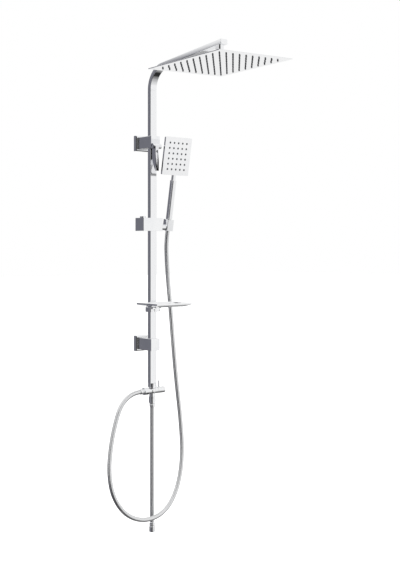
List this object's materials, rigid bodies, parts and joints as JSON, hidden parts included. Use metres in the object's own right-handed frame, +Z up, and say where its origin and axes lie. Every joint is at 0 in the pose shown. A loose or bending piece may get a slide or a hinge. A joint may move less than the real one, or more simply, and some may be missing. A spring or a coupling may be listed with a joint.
{
  "type": "rainfall shower column",
  "caption": "Wall shower riser with bent arm, square tilting rain head, handset in a sliding holder, soap dish, diverter and metal hoses.",
  "frame": {"origin": "centre of the lower wall cover's back face, on the wall plane", "axes": "+Z up along the riser, +Y into the wall, +X to the right for someone who faces the wall"},
  "size_m": [0.3466, 0.5515, 1.5145],
  "materials": {
    "chrome_brass": "polished chrome plate on brass or zinc",
    "stainless": "polished stainless steel sheet and tube",
    "chrome_plastic": "chrome-plated plastic",
    "hose_metal": "polished interlocked metal hose",
    "silicone": "soft matt silicone",
    "rubber": "matt rubber",
    "nylon": "plain white nylon",
    "zinc_steel": "zinc-plated steel",
    "brass": "bare brass"
  },
  "bodies": {
    "column": {"column_tube": "stainless", "arm_end_cap": "chrome_plastic", "arm_outlet_collar": "chrome_brass", "column_foot": "chrome_brass", "lower_wall_plate": "zinc_steel", "upper_wall_plate": "zinc_steel", "lower_wall_cover": "chrome_brass", "upper_wall_cover": "chrome_brass", "lower_bracket": "chrome_brass", "upper_bracket": "chrome_brass", "lower_bracket_liner": "nylon", "upper_bracket_liner": "nylon", "bracket_grub_screws": "zinc_steel", "cam_pin": "zinc_steel", "cam_pad": "nylon", "diverter_body": "chrome_brass", "column_nut": "chrome_brass", "column_washer": "rubber", "hose_nut": "chrome_brass", "hose_washer": "rubber", "inlet_nut": "chrome_brass", "inlet_washer": "rubber", "handset_hose": "hose_metal", "inlet_hose": "hose_metal", "inlet_end_nut": "chrome_brass", "inlet_end_washer": "rubber"},
    "swivel_stub": {"ball_stub": "chrome_brass", "stub_o_ring": "rubber"},
    "rain_head": {"head_ball_nut": "chrome_brass", "ball_seal": "rubber", "head_inlet_boss": "chrome_brass", "head_top_shell": "stainless", "head_nozzle_mat": "silicone", "head_spray_plate": "stainless"},
    "slider": {"slider_body": "chrome_brass", "slider_liner": "nylon", "button_spring": "zinc_steel", "slider_lock_pad": "nylon", "holder_pivot_screw": "zinc_steel", "pivot_washer": "nylon"},
    "button": {"release_button": "chrome_brass"},
    "holder": {"handset_holder": "chrome_brass"},
    "handset": {"handset_shell": "chrome_plastic", "handset_face": "chrome_plastic", "handset_nozzle_mat": "silicone", "handset_hose_nut": "chrome_brass", "handset_washer": "rubber"},
    "cam": {"cam_lever": "chrome_brass"},
    "dish": {"soap_dish": "chrome_plastic", "dish_clamp": "chrome_plastic", "dish_screws": "zinc_steel"},
    "dish_knob": {"dish_clamp_knob": "chrome_brass"},
    "diverter_control": {"diverter_knob": "chrome_brass", "diverter_lever": "chrome_brass", "diverter_spindle": "brass", "diverter_o_rings": "rubber"}
  },
  "joints": [
    {"name": "head_swivel", "type": "hinge", "parent": "column", "child": "swivel_stub", "pos_m": [0, -0.39307, 0.87059], "axis": [0, 0, 1], "continuous": true},
    {"name": "head_tilt", "type": "hinge", "parent": "swivel_stub", "child": "rain_head", "pos_m": [0, -0.39307, 0.87059], "axis": [1, 0, 0], "range_deg": [-9, 9]},
    {"name": "slider_height", "type": "slide", "parent": "column", "child": "slider", "axis": [0, 0, 1], "range_m": [-0.19, 0.14], "deforming": ["handset_hose"]},
    {"name": "button_press", "type": "slide", "parent": "slider", "child": "button", "axis": [0, 0, -1], "range_m": [0, 0.004], "stiffness_N_per_m": 900, "springref_m": -0.002, "deforming": ["button_spring"]},
    {"name": "holder_tilt", "type": "hinge", "parent": "slider", "child": "holder", "pos_m": [0.059, -0.072, 0.374], "axis": [1, 0, 0], "range_deg": [-2, 30], "deforming": ["handset_hose"]},
    {"name": "handset_lift", "type": "slide", "parent": "holder", "child": "handset", "axis": [0, -0.1822, 0.9833], "range_m": [0, 0.05], "deforming": ["handset_hose"]},
    {"name": "cam_lever_turn", "type": "hinge", "parent": "column", "child": "cam", "pos_m": [0, -0.0871, 0.631], "axis": [-1, 0, 0], "range_deg": [0, 95]},
    {"name": "dish_height", "type": "slide", "parent": "column", "child": "dish", "axis": [0, 0, 1], "range_m": [-0.075, 0.19]},
    {"name": "dish_knob_turn", "type": "hinge", "parent": "dish", "child": "dish_knob", "pos_m": [0.02, -0.0655, 0.1115], "axis": [1, 0, 0], "continuous": true},
    {"name": "diverter_turn", "type": "hinge", "parent": "column", "child": "diverter_control", "pos_m": [0.02, -0.0655, -0.148], "axis": [1, 0, 0], "range_deg": [-90, 90]}
  ]
}
